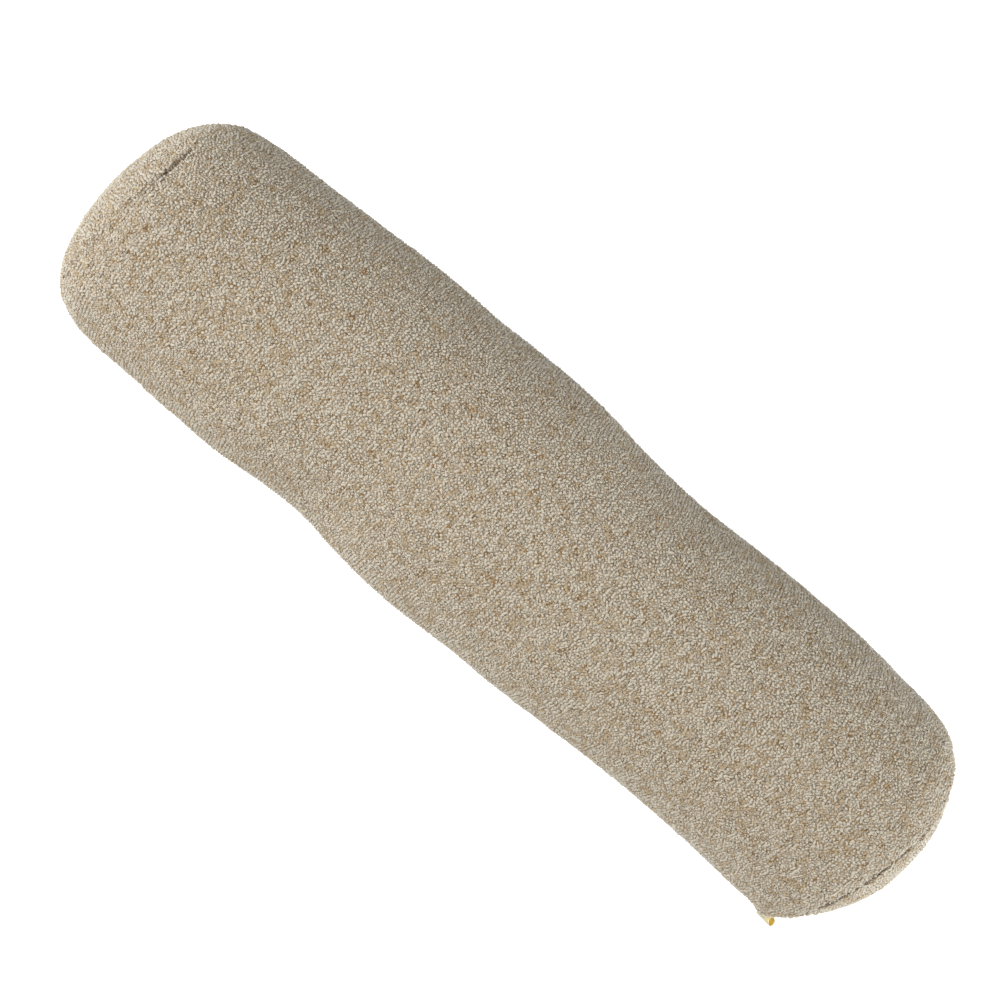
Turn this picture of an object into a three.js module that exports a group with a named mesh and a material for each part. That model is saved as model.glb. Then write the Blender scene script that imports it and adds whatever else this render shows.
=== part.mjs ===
// A bolster cushion: one filled tube of looped cloth, closed at each end by a round panel, with a folded
// ribbon label caught in the right end seam. It lies on the flat spot that its own weight presses into it.
// Millimetres, +Z up, +X along the bolster. The origin is on the surface it lies on, under its middle.
import * as THREE from "three";

// Driving dimensions
const radius = 100; // of the filled tube, nominal
const seamLength = 685; // from end seam to end seam, along the middle
const bulge = { left: 36, right: 32 }; // how far each end panel swells past its seam
const axisHeight = 0.93 * radius; // the middle of the tube over the surface, low enough that it lies flat
const crown = { left: 1.5, right: 1.9 }; // of the end panels: 1 is an ellipsoid, and more flattens the edge
const skew = { left: 0.1, right: 0.14 }; // how far each end seam runs askew: along the bolster, per unit across
const endSeam = { depth: 3.4, reach: 4 }; // the groove where an end panel is sewn in
const plainTube = 30; // how far from an end seam the hollows and the long seam reach their full depth
const longSeam = { turn: 222, depth: 2.6, reach: 6 }; // its turn in degrees, from the back over the top
const label = { turn: 187, width: 13, loop: 7, out: 14, ribbon: 0.8, rise: 0.6 }; // rise: clear of the seam
const labelLean = { outwards: 10, twist: -27 }; // degrees: over the end panel, and from root to fold

// How the drawn faces are spaced
const segments = 60; // round the tube: one every 6 degrees, so that the long seam falls on an edge
const endRings = [0, 3, 7, 13, 21, 31]; // distances from an end seam, where the tube turns in
const tubeSteps = 42; // even steps between the last ring of each end
const panelRings = 8; // from an end panel's middle to its seam

const overallLength = bulge.left + seamLength + bulge.right;
const seamX = -overallLength / 2 + bulge.left; // the left end seam

// The cloth's outline, from the left end seam to the right one: how far it reaches from the middle to the
// front (-Y), to the back (+Y), and both up and down, in radii.
const stations = [
  { share: 0.0, front: 0.88, back: 0.91, height: 0.88 },
  { share: 0.02, front: 0.945, back: 0.935, height: 0.93 },
  { share: 0.05, front: 0.98, back: 0.96, height: 0.96 },
  { share: 0.1, front: 0.985, back: 0.975, height: 0.975 },
  { share: 0.16, front: 1.0, back: 1.0, height: 0.98 },
  { share: 0.22, front: 1.005, back: 1.03, height: 0.985 },
  { share: 0.28, front: 0.97, back: 1.045, height: 0.975 },
  { share: 0.33, front: 0.96, back: 1.045, height: 0.97 },
  { share: 0.39, front: 1.015, back: 1.055, height: 0.985 },
  { share: 0.46, front: 1.045, back: 1.05, height: 0.995 },
  { share: 0.53, front: 1.02, back: 1.0, height: 0.985 },
  { share: 0.6, front: 1.02, back: 0.975, height: 0.975 },
  { share: 0.67, front: 1.0, back: 0.985, height: 0.97 },
  { share: 0.75, front: 0.98, back: 0.995, height: 0.975 },
  { share: 0.84, front: 0.985, back: 0.99, height: 0.98 },
  { share: 0.9, front: 1.0, back: 0.955, height: 0.97 },
  { share: 0.95, front: 1.025, back: 0.92, height: 0.955 },
  { share: 0.98, front: 1.015, back: 0.85, height: 0.93 },
  { share: 1.0, front: 0.975, back: 0.72, height: 0.88 },
];

// Soft hollows and swells where the filling has shifted: where they lie along and round the tube, how deep
// they are (a swell is negative) and how far they reach along and round it.
const hollows = [
  { share: 0.14, turn: 48, depth: 2.0, along: 42, round: 34 },
  { share: 0.31, turn: 36, depth: 3.6, along: 46, round: 40 },
  { share: 0.34, turn: 140, depth: 3.2, along: 34, round: 40 },
  { share: 0.46, turn: 126, depth: 1.8, along: 22, round: 52 },
  { share: 0.45, turn: 74, depth: -2.2, along: 60, round: 60 },
  { share: 0.62, turn: 28, depth: 3.4, along: 52, round: 46 },
  { share: 0.8, turn: 56, depth: 2.2, along: 40, round: 34 },
  { share: 0.82, turn: 146, depth: 2.2, along: 36, round: 34 },
  { share: 0.93, turn: 132, depth: 2.4, along: 34, round: 40 },
];

const columns = ["front", "back", "height"];
const outline = new THREE.CubicInterpolant(
  stations.map((row) => row.share),
  stations.flatMap((row) => columns.map((name) => row[name])),
  columns.length,
  [],
);

const bell = (distance, reach) => Math.exp(-((distance / reach) ** 2));

// How far one turn in degrees lies from another, the short way round.
const turnBetween = (a, b) => Math.abs(THREE.MathUtils.euclideanModulo(a - b + 180, 360) - 180);

// The distances of the rings from the left end seam, along the tube.
function tubeStations() {
  const last = endRings.at(-1);
  const step = (seamLength - 2 * last) / tubeSteps;
  const even = Array.from({ length: tubeSteps - 1 }, (_, i) => last + (i + 1) * step);
  const closing = endRings.map((distance) => seamLength - distance).reverse();
  return [...endRings, ...even, ...closing];
}

// An end panel's rings: share of its radius, and how far that ring stands out past the seam.
function panelProfile(side) {
  return Array.from({ length: panelRings }, (_, i) => {
    const lean = (i / panelRings) * (Math.PI / 2);
    return { share: Math.sin(lean), out: bulge[side] * Math.cos(lean) ** crown[side] };
  });
}

// The profile that is turned about the bolster's axis: x is the share of the radius, y is the place along.
function profile() {
  const left = panelProfile("left").map((p) => new THREE.Vector2(p.share, -p.out));
  const tube = tubeStations().map((distance) => new THREE.Vector2(1, distance));
  const right = panelProfile("right").map((p) => new THREE.Vector2(p.share, seamLength + p.out));
  return [...left, ...tube, ...right.reverse()];
}

// How far the seams and hollows draw the cloth in at a place along the tube and round it.
function drawnIn(along, turn, share) {
  const fromSeam = Math.min(Math.abs(along), Math.abs(seamLength - along));
  const onTube = THREE.MathUtils.smoothstep(Math.min(along, seamLength - along), 0, plainTube);
  const arc = (other) => THREE.MathUtils.degToRad(turnBetween(turn, other)) * radius;
  let depth = endSeam.depth * bell(fromSeam, endSeam.reach) * share;
  depth += onTube * longSeam.depth * bell(arc(longSeam.turn), longSeam.reach);
  for (const h of hollows)
    depth += onTube * h.depth * bell(along - h.share * seamLength, h.along) * bell(arc(h.turn), h.round);
  return depth;
}

// Where a point of the turned profile lies on the real bolster. The turn runs from the back (+Y) over the
// top. The surface presses flat what would reach below it.
function settled(share, along, turn) {
  const [front, back, height] = outline.evaluate(THREE.MathUtils.clamp(along / seamLength, 0, 1));
  const reach = share - drawnIn(along, turn, share) / radius;
  const angle = THREE.MathUtils.degToRad(turn);
  const across = (back - front) / 2 + (reach * (back + front) * Math.cos(angle)) / 2;
  const up = reach * height * Math.sin(angle);
  const askew = THREE.MathUtils.mapLinear(along, 0, seamLength, skew.left, skew.right);
  const place = along + askew * radius * reach ** 3 * Math.cos(angle);
  return new THREE.Vector3(seamX + place, across * radius, Math.max(0, axisHeight + up * radius));
}

// The filled cushion: its tube and both end panels, drawn in at their seams, as one solid.
function cushionGeometry() {
  const turned = new THREE.LatheGeometry(profile(), segments);
  const points = turned.getAttribute("position");
  for (let i = 0; i < points.count; i++) {
    const [up, along, across] = [points.getX(i), points.getY(i), points.getZ(i)];
    const turn = THREE.MathUtils.euclideanModulo(THREE.MathUtils.radToDeg(Math.atan2(up, across)), 360);
    const at = settled(Math.hypot(across, up), along, turn);
    points.setXYZ(i, at.x, at.y, at.z);
  }
  return turned;
}

// The label's section: a ribbon folded back on itself, its two ends side by side where the seam holds them.
function labelSection() {
  const bend = label.out - label.loop / 2;
  const loop = (root, half) => {
    const path = new THREE.Shape();
    path.moveTo(root.out, -root.half);
    path.quadraticCurveTo(bend / 2, -half, bend, -half);
    path.absarc(bend, 0, half, -Math.PI / 2, Math.PI / 2, false);
    path.quadraticCurveTo(bend / 2, half, root.out, root.half);
    path.closePath();
    return path;
  };
  const section = loop({ out: 0, half: label.ribbon }, label.loop / 2);
  const parting = { out: 2 * label.ribbon, half: label.ribbon / 10 };
  section.holes.push(loop(parting, label.loop / 2 - label.ribbon));
  return section;
}

// The folded ribbon, its width along Z and its fold out along X, twisting a little on its way out of the seam.
function labelGeometry() {
  const folded = new THREE.ExtrudeGeometry(labelSection(), {
    depth: label.width,
    steps: 4,
    bevelEnabled: false,
    curveSegments: 8,
  }).translate(0, 0, -label.width / 2);
  const points = folded.getAttribute("position");
  for (let i = 0; i < points.count; i++) {
    const point = new THREE.Vector3().fromBufferAttribute(points, i);
    const twisted = labelLean.twist * THREE.MathUtils.smoothstep(point.x, 0, label.out);
    point.applyAxisAngle(new THREE.Vector3(1, 0, 0), THREE.MathUtils.degToRad(twisted));
    points.setXYZ(i, point.x, point.y, point.z);
  }
  return folded;
}

// Stands the label in the right end seam, its fold out from the bolster and its width along the seam.
function placeLabel(loop) {
  const turn = THREE.MathUtils.degToRad(label.turn);
  const along = new THREE.Vector3(0, Math.sin(turn), -Math.cos(turn));
  const outward = new THREE.Vector3(0, Math.cos(turn), Math.sin(turn));
  outward.applyAxisAngle(along, THREE.MathUtils.degToRad(labelLean.outwards));
  const across = new THREE.Vector3().crossVectors(along, outward);
  loop.setRotationFromMatrix(new THREE.Matrix4().makeBasis(outward, across, along));
  loop.position.copy(settled(1, seamLength, label.turn)).addScaledVector(outward, label.rise);
}

const boucle = new THREE.MeshStandardMaterial({ color: 0xad9f8b, roughness: 0.95, metalness: 0 });
const ribbon = new THREE.MeshStandardMaterial({ color: 0xdccfa6, roughness: 0.7, metalness: 0 });

const cushion = new THREE.Mesh(cushionGeometry(), boucle);
cushion.name = "bolster_cushion";

const labelLoop = new THREE.Mesh(labelGeometry(), ribbon);
labelLoop.name = "label_loop";
placeLabel(labelLoop);

const bolster = new THREE.Group();
bolster.add(cushion, labelLoop);
const middle = new THREE.Box3().setFromObject(bolster, true).getCenter(new THREE.Vector3());
bolster.position.set(-middle.x, -middle.y, 0);

export default bolster;
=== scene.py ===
"""A bolster cushion in looped wool cloth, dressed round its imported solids: the filled cover with its sewn
seams, the loops of yarn that stand on the cloth, and the ribbon label. Metres, +Z up, +X along it."""

import math

import bmesh
import bpy
import numpy as np
from bpy.props import FloatProperty, FloatVectorProperty, IntProperty, PointerProperty
from mathutils import Matrix, Quaternion, Vector, noise
from mathutils.bvhtree import BVHTree


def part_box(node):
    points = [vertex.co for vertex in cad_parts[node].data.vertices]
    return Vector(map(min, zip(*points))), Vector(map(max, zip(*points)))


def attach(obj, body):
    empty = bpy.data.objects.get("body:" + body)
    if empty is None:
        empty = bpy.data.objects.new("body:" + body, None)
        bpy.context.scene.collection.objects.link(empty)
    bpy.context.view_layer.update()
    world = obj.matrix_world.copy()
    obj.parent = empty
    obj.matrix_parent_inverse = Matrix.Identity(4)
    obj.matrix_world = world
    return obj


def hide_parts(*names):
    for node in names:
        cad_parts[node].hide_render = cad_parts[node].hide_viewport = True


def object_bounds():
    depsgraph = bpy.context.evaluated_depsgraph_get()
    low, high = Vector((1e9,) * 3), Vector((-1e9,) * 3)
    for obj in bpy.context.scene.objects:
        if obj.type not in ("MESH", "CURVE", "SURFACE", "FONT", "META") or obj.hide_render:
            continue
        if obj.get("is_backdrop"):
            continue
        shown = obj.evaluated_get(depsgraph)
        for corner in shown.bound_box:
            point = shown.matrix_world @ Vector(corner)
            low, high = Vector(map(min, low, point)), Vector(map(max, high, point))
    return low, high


bl_info = {
    "name": "Bolster cushion in looped cloth",
    "version": (1, 0, 0),
    "blender": (4, 5, 0),
    "location": "3D View > Sidebar > Bolster",
    "description": "Sews the bolster's cover, loops its yarn, folds its label and sets up a plain studio",
    "category": "Object",
}

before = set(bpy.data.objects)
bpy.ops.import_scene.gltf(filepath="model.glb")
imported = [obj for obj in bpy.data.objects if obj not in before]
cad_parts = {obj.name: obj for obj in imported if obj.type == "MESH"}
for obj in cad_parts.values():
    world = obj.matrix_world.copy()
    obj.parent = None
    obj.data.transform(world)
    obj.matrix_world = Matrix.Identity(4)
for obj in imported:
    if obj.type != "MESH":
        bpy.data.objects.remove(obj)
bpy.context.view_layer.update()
CUSHION_LOW, CUSHION_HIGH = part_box("bolster_cushion")
LABEL_LOW, LABEL_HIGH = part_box("label_loop")

MM = 0.001
BAKE_MAP = "OFBake"  # the one UV map of each piece, which its patterns read

# The lay of the cover's grid
ROUND_STEPS = 128  # quads round the tube, a multiple of 4 so that a square patch closes each end
EVEN_STEPS = 146  # quads along the tube between its last close rings
CLOSE_RINGS = [0, 1.1, 2.3, 3.8, 5.8, 8.4, 11.6, 15.4]  # mm from an end seam
LONG_SEAM_TURN = math.radians(222)  # from the back (+Y) over the top, where the tube panel's edges meet
LINE_TURNS = LONG_SEAM_TURN + np.arange(ROUND_STEPS) * (2 * math.pi / ROUND_STEPS)
AXIS = Vector((0, 1.5 * MM, 93 * MM))  # the line inside the tube from which its surface is found
CLOTH_WIDTH = 0.82  # metres of cloth across the UV map
END_SKEW = {"left": 0.1, "right": 0.14}  # how far each end seam runs askew along the tube, per unit across
PANEL_CROWN = 0.8  # of the end panels: 0.5 is an ellipsoid, and more makes them pointed
PANEL_MAP = (0.16, 0.88)  # where the left end panel lies in the UV map
PANEL_MAP_STEP = 0.3  # how much further across the right one lies

# The filling and the seams
FILL_FRAMES = 20
FILLING = {
    "quality": 6,
    "mass": 0.2,
    "tension_stiffness": 12,
    "compression_stiffness": 12,
    "shear_stiffness": 6,
    "bending_stiffness": 0.6,
    "use_pressure": True,
    "vertex_group_mass": "held",
}
HOLD = {"seam": 3 * MM, "flat": 9 * MM, "least": 0.05}  # how far from those the cloth is held, and how little
SEAM_PULL = {"left": math.radians(64), "right": math.radians(112)}  # the turn where an end seam gapes most
PULL_WIDTH = {"left": 0.18, "right": 0.65}  # radians round the seam that the pull reaches
OPENING = {"least": 0.27, "worn": 0.18, "drawn": 0.75}  # of an end seam: all round, in places, at its pull
# How far each part of a seam reaches to its sides
END_SEAM = {"stitch": 1.0 * MM, "gap": 1.1 * MM, "crease": 0.9 * MM, "fill": 3.6 * MM, "puckers": 11 * MM}
LONG_SEAM = {"stitch": 1.6 * MM, "gap": 1.2 * MM, "puckers": 8 * MM}
LONG_SEAM_DEPTH = 1.3 * MM
LONG_SEAM_GAP = 0.8  # how open it is, of an end seam at its pull
PUCKERS = {"end": 0.5 * MM, "long": 0.35 * MM}  # how deep the cloth puckers beside a seam
LUMPS, NUBS = 0.45 * MM, 0.3 * MM  # how high the cloth's own unevenness stands
LOWEST = 1.5 * MM  # of the cover, whose loops reach down to the floor
# Where the filling sits unevenly in the ends, in mm: how far across the end, how far out, and its reach
END_SWELLS = {
    "left": [(-55, 3.0, 35), (25, -1.0, 20), (72, 1.6, 22)],
    "right": [(-62, -2.0, 30), (22, 1.7, 22), (70, -1.7, 20)],
}
END_SWELL = {"from": 0.3, "grows": 40 * MM}  # from the middle: where those swells begin and grow full
# The cloth's bulge beside the seam, over the label: its middle along and up, its height and reaches, in mm
LABEL_BULGE = {"place": 322, "height": 104, "out": 4.8, "along": 9, "up": 20, "over": 90, "grows": 9}

# The loops of yarn
CURL = {"length": 4.3 * MM, "yarns": 1.7, "corners": 6, "ridge": 1.7 * MM}  # its thickness is in yarns
KNOT = {"length": 3.4 * MM, "yarns": 2.1, "corners": 5}
CROWN = {"rim": -0.3, "top": 0.29}  # how high a bit of yarn's rim and top lie, in shares of its thickness
LOOP_PIECES = [  # each with its bit of yarn, and the draws from 0 to 1 that fall to it
    ("curls_1", "curl", 0.0, 0.12),
    ("curls_2", "curl", 0.12, 0.24),
    ("knots_1", "knot", 0.24, 0.5),
    ("knots_2", "knot", 0.5, 0.75),
    ("knots_3", "knot", 0.75, 1.0),
]
LOOP_LAY = {
    "Density": 4e6,  # for each square metre, before the spacing thins them
    "Turn spread": 1.0,  # radians either way from along the row
    "Tilt": 0.25,  # radians either way from upright
    "Smallest": 0.62,
    "Largest": 1.45,
    "Lowest": 0.0,
    "Highest": 0.45 * MM,
}

# The label
LABEL_TURN = math.radians(187)  # where the label stands round the right end seam
LABEL_LEAN = math.radians(5)  # how far it leans over the end panel
LABEL_TWIST = math.radians(-45)  # how far it turns on its way out
LABEL_ROOT = (0.333, 0.925, 0.565)  # where the seam holds it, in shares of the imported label's box
LABEL_OPENING = math.radians(138)  # from the eye's far point round to where its sides close
LABEL_STEPS = {"eye": 29, "lead": 14, "across": 27}
LABEL_EDGE = {"height": 0.12 * MM, "reach": 0.06}  # its raised woven edges, as a share of its width
LABEL_WAVE = 0.25 * MM

# How cloth takes the light, and how far light shines through the ribbon
CLOTH_SHEEN = {"Specular IOR Level": 0.15, "Sheen Roughness": 0.35, "Sheen Tint": (0.97, 0.98, 1.0, 1)}
RIBBON_GLOW = {"Subsurface Weight": 0.8, "Subsurface Radius": (1, 0.8, 0.4), "Subsurface Scale": 3 * MM}

# The studio
CAMERA_AIM = Vector((-20.75 * MM, 5.8 * MM, 93 * MM))
SENSOR = 36.0
FLOOR_REACH = 6
FLOOR_GLOW = 0.85
SKY = (0.91, 0.96, 1, 1)
LIGHT_AIM = 0.1  # the height that the lights look at
SOFTBOXES = [  # name, place from the bolster's middle, size, setting, power in shares of the setting, tint
    ("key_light", (-0.7, -0.68, 2.3), 2.2, "key", 1.0, (1, 0.975, 0.935)),
    ("left_light", (-2.2, -0.4, 0.8), 1.0, "ends", 1.25, (0.94, 0.97, 1)),
    ("right_light", (2.1, 0.3, 0.4), 1.0, "ends", 1.9, (0.93, 0.97, 1)),
]


def length(name, default, description):
    """A size in metres that a user may change, given in millimetres."""
    return number(name, default * MM, description, "LENGTH")


def number(name, default, description, unit="NONE", **limits):
    """A number that a user may change, an angle in degrees."""
    value = math.radians(default) if unit == "ROTATION" else default
    return FloatProperty(name=name, description=description, default=value, unit=unit, **limits)


def share(name, default, description):
    """A share from 0 to 1 that a user may change."""
    return number(name, default, description, min=0, max=1, subtype="FACTOR")


def colour(name, default, description):
    """A colour that a user may change."""
    return FloatVectorProperty(
        name=name, description=description, default=default, size=3, min=0, max=1, subtype="COLOR"
    )


class CoverSizes(bpy.types.PropertyGroup):
    left_bulge: length("Left bulge", 36, "How far the left end panel swells past its seam")
    right_bulge: length("Right bulge", 32, "How far the right end panel swells past its seam")
    pile: length("Pile height", 0.9, "How far the loops of yarn stand over the ground of the cloth")
    pressure: number("Filling pressure", 4.0, "How hard the filling presses on the cloth")
    most_swell: length("Most swell", 3.5, "The furthest that the filling may push the cloth out")
    seam_depth: length("Seam depth", 1.8, "How deep the stitches of an end seam draw the cloth in")
    seam_fill: length("Seam fill", 2.6, "How far the filling rounds the cloth out again beside an end seam")


class YarnColours(bpy.types.PropertyGroup):
    ivory: colour("Ivory", (0.655, 0.594, 0.49), "The palest loops")
    oat: colour("Oat", (0.53, 0.415, 0.27), "The warm middle tone of the loops")
    tan: colour("Tan", (0.38, 0.235, 0.11), "The ground yarn that shows between the loops")
    # Umber is painted shade: it is drawn in the pits between the yarns and along the seam creases.
    umber: colour("Umber", (0.075, 0.042, 0.019), "The shaded pits between the yarns")


class LoopSizes(bpy.types.PropertyGroup):
    yarn: length("Yarn thickness", 1.38, "How thick the looped yarn is")
    spacing: length("Loop spacing", 2.15, "The least distance between two loops")
    row_pitch: length("Row pitch", 2.8, "The distance between two woven rows")
    row_hold: share("Row hold", 0.45, "How firmly the loops keep to their rows, where they do so most")
    clump: length("Clump size", 9, "The size of the paler and deeper clumps of yarn")
    clumping: share("Clumping", 0.8, "How far the tones of the clumps part")
    seed: IntProperty(name="Seed", description="The draw of the loops' places and turns", default=7)


class LabelSizes(bpy.types.PropertyGroup):
    width: length("Label width", 14.5, "The ribbon's width, along the seam")
    out: length("Label reach", 13.6, "How far the folded ribbon stands out of the seam")
    fold: length("Label fold", 7.2, "The outside width of the open fold")
    eye: length("Label eye", 6.6, "The length of the open eye in the fold")
    ribbon: length("Ribbon thickness", 0.5, "How thick the ribbon is")
    cream: colour("Cream", (0.72, 0.64, 0.47), "The ribbon's outer face")
    mustard: colour("Mustard", (0.68, 0.53, 0.23), "The ribbon's inner face")


class StudioSettings(bpy.types.PropertyGroup):
    distance: length("Camera distance", 1235, "From the camera to the middle of the bolster")
    tilt: number("Camera tilt", 3.5, "How far the camera leans over the left end", "ROTATION")
    roll: number("Camera roll", 40.2, "How far the bolster runs downhill across the view", "ROTATION")
    lens: number("Lens", 61.16, "Focal length", "CAMERA")
    key: number("Key light", 43.0, "Power of the soft light overhead", "POWER")
    ends: number("End lights", 20.0, "Power of each low soft light off an end", "POWER")
    room: number("Room light", 0.31, "Brightness of the white room")


# Small helpers for node trees


def set_inputs(tree, inputs, values):
    """Sets inputs to values, or links them from outputs."""
    for key, value in values.items():
        if isinstance(value, bpy.types.NodeSocket):
            tree.links.new(value, inputs[key])
        else:
            inputs[key].default_value = value


def add_node(tree, kind, inputs=None, **settings):
    """A new node with its settings made, and its inputs set to a value or linked."""
    node = tree.nodes.new(kind)
    for name, value in settings.items():
        setattr(node, name, value)
    set_inputs(tree, node.inputs, inputs or {})
    return node


def maths(tree, operation, *values, clamp=False):
    """The result of one arithmetic step on values or outputs."""
    node = add_node(tree, "ShaderNodeMath", dict(enumerate(values)), operation=operation, use_clamp=clamp)
    return node.outputs[0]


def product(tree, first, second):
    return maths(tree, "MULTIPLY", first, second)


def vector_maths(tree, operation, inputs):
    """The vector that one step of vector arithmetic gives."""
    return add_node(tree, "ShaderNodeVectorMath", inputs, operation=operation).outputs["Vector"]


def graded(tree, value, low, high, to_low=0.0, to_high=1.0):
    """The value mapped smoothly from low..high to to_low..to_high."""
    inputs = {"Value": value, "From Min": low, "From Max": high, "To Min": to_low, "To Max": to_high}
    node = add_node(tree, "ShaderNodeMapRange", inputs, interpolation_type="SMOOTHSTEP")
    return node.outputs["Result"]


def blended(tree, share, first, second):
    """The colour between two colours, each given as three numbers or as an output."""
    ends = [end if isinstance(end, bpy.types.NodeSocket) else (*end, 1) for end in (first, second)]
    inputs = {0: share, 6: ends[0], 7: ends[1]}
    return add_node(tree, "ShaderNodeMix", inputs, data_type="RGBA").outputs[2]


def tree_socket(tree, name, kind, default=None, output=False):
    """A named socket in a node tree's interface."""
    socket = tree.interface.new_socket(name=name, in_out="OUTPUT" if output else "INPUT", socket_type=kind)
    if default is not None:
        socket.default_value = default


def shader_group(name, inputs, outputs):
    """A node group for materials, what it is given and its results. An input with no value is a vector."""
    tree = bpy.data.node_groups.new(name, "ShaderNodeTree")
    for key, value in inputs.items():
        tree_socket(tree, key, "NodeSocketVector" if value is None else "NodeSocketFloat", value)
    for key in outputs:
        tree_socket(tree, key, "NodeSocketFloat", output=True)
    given = tree.nodes.new("NodeGroupInput").outputs
    return tree, given, tree.nodes.new("NodeGroupOutput").inputs


# Pieces


def new_object(name, data):
    made = bpy.data.objects.new(name, data)
    bpy.context.scene.collection.objects.link(made)
    return made


def new_piece(name, points, faces, smooth=True):
    """A mesh object at the origin, from points and faces that point outwards."""
    mesh = bpy.data.meshes.new(name)
    mesh.from_pydata([tuple(p) for p in points], [], faces)
    mesh.polygons.foreach_set("use_smooth", [smooth] * len(mesh.polygons))
    return new_object(name, mesh)


def evaluated_mesh(piece, name):
    """A plain copy of a piece's mesh with its modifiers applied."""
    view = bpy.context.evaluated_depsgraph_get()
    mesh = bpy.data.meshes.new_from_object(piece.evaluated_get(view), depsgraph=view)
    mesh.name = name
    return mesh


def apply_modifiers(piece):
    """Replaces a piece's mesh with its evaluated one and removes its modifiers."""
    old = piece.data
    mesh = evaluated_mesh(piece, piece.name)
    piece.modifiers.clear()
    piece.data = mesh
    if not old.users:
        bpy.data.meshes.remove(old)


def points_of(mesh):
    """A mesh's points as an array."""
    found = np.empty(len(mesh.vertices) * 3)
    mesh.vertices.foreach_get("co", found)
    return found.reshape(-1, 3)


def normals_of(mesh):
    """A mesh's point normals as an array."""
    found = np.empty(len(mesh.vertices) * 3, np.float32)
    mesh.vertex_normals.foreach_get("vector", found)
    return found.reshape(-1, 3).astype(float)


def set_points(mesh, points):
    mesh.vertices.foreach_set("co", np.asarray(points, float).ravel())
    mesh.update()


def set_map(mesh, places):
    """Gives a mesh its UV map, from a place for each corner of each face."""
    uv = mesh.uv_layers.new(name=BAKE_MAP)
    uv.uv.foreach_set("vector", np.array(places, np.float32).ravel())


def store_points(mesh, name, values):
    """Writes a number or a vector for each point to a named attribute."""
    values = np.asarray(values, float)
    kind, field = ("FLOAT", "value") if values.ndim == 1 else ("FLOAT_VECTOR", "vector")
    attribute = mesh.attributes.get(name) or mesh.attributes.new(name, kind, "POINT")
    attribute.data.foreach_set(field, values.ravel())


def read_points(mesh, name):
    """Reads a number for each point from a named attribute."""
    values = np.empty(len(mesh.vertices))
    mesh.attributes[name].data.foreach_get("value", values)
    return values


def noise_at(points, size, seed, octaves=2):
    """Smooth noise from about -1 to 1 at each point, its features this size in metres."""
    shift = Vector((seed * 13.7, seed * 7.3, seed * 3.1))
    return np.array([noise.fractal(Vector(p) / size + shift, 1.0, 2.0, octaves) for p in points])


# The cover's grid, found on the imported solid


def packed_surface(node):
    """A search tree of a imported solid's surface, with doubled points merged."""
    solid = bmesh.new()
    solid.from_mesh(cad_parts[node].data)
    bmesh.ops.remove_doubles(solid, verts=solid.verts, dist=0.01 * MM)
    tree = BVHTree.FromBMesh(solid)
    solid.free()
    return tree


def surface_point(tree, origin, direction):
    """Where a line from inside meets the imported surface."""
    hit = tree.ray_cast(Vector(origin), Vector(direction).normalized())[0]
    if hit is None:
        raise RuntimeError(f"no packed surface lies that way from {tuple(origin)}")
    return np.array(hit)


def seam_distances(length):
    """How far each ring lies from the left end seam: close rings at both ends, even ones between."""
    close = [d * MM for d in CLOSE_RINGS]
    step = (length - 2 * close[-1]) / EVEN_STEPS
    even = [close[-1] + (i + 1) * step for i in range(EVEN_STEPS - 1)]
    return np.array([*close, *even, *[length - d for d in reversed(close)]])


def tube_points(tree, left, distances):
    """The tube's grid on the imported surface. Each ring runs as askew as the end seams do there."""
    length = distances[-1]
    rings = []
    for distance in distances:
        along = distance / length
        askew = END_SKEW["left"] * (1 - along) + END_SKEW["right"] * along
        origin = (left + distance, AXIS.y, AXIS.z)
        ways = [(askew * math.cos(turn), math.cos(turn), math.sin(turn)) for turn in LINE_TURNS]
        rings.append([surface_point(tree, origin, way) for way in ways])
    return np.array(rings)


def disc_place(i, k, steps):
    """Radius (0 to 1) and turn of a square patch's point (i, k), laid on a disc with an even rim."""
    across, up = 2 * i / steps - 1, 2 * k / steps - 1
    if across == up == 0:
        return 0.0, 0.0
    if abs(across) > abs(up):
        reach, turn = across, math.pi / 4 * up / across
    else:
        reach, turn = up, math.pi / 2 - math.pi / 4 * across / up
    return abs(reach), (turn if reach > 0 else turn + math.pi) % (2 * math.pi)


def panel_points(tree, rim, bulge, outwards):
    """An end panel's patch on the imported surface: {(i, k): point}, and {(i, k): grid line} at its seam."""
    steps = ROUND_STEPS // 4
    middle = rim.mean(axis=0)
    inside = middle - np.array([outwards * 2 * bulge, 0, 0])
    inner, seam = {}, {}
    for i in range(steps + 1):
        for k in range(steps + 1):
            reach, turn = disc_place(i, k, steps)
            line = turn / (2 * math.pi) * ROUND_STEPS
            if reach > 1 - 1e-9:
                seam[i, k] = round(line) % ROUND_STEPS
                continue
            low = int(line) % ROUND_STEPS
            edge = rim[low] + (line % 1) * (rim[(low + 1) % ROUND_STEPS] - rim[low])
            aim = middle + reach * (edge - middle)
            aim[0] += outwards * bulge * (1 - reach**2) ** PANEL_CROWN
            inner[i, k] = surface_point(tree, inside, aim - inside)
    return inner, seam


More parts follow.
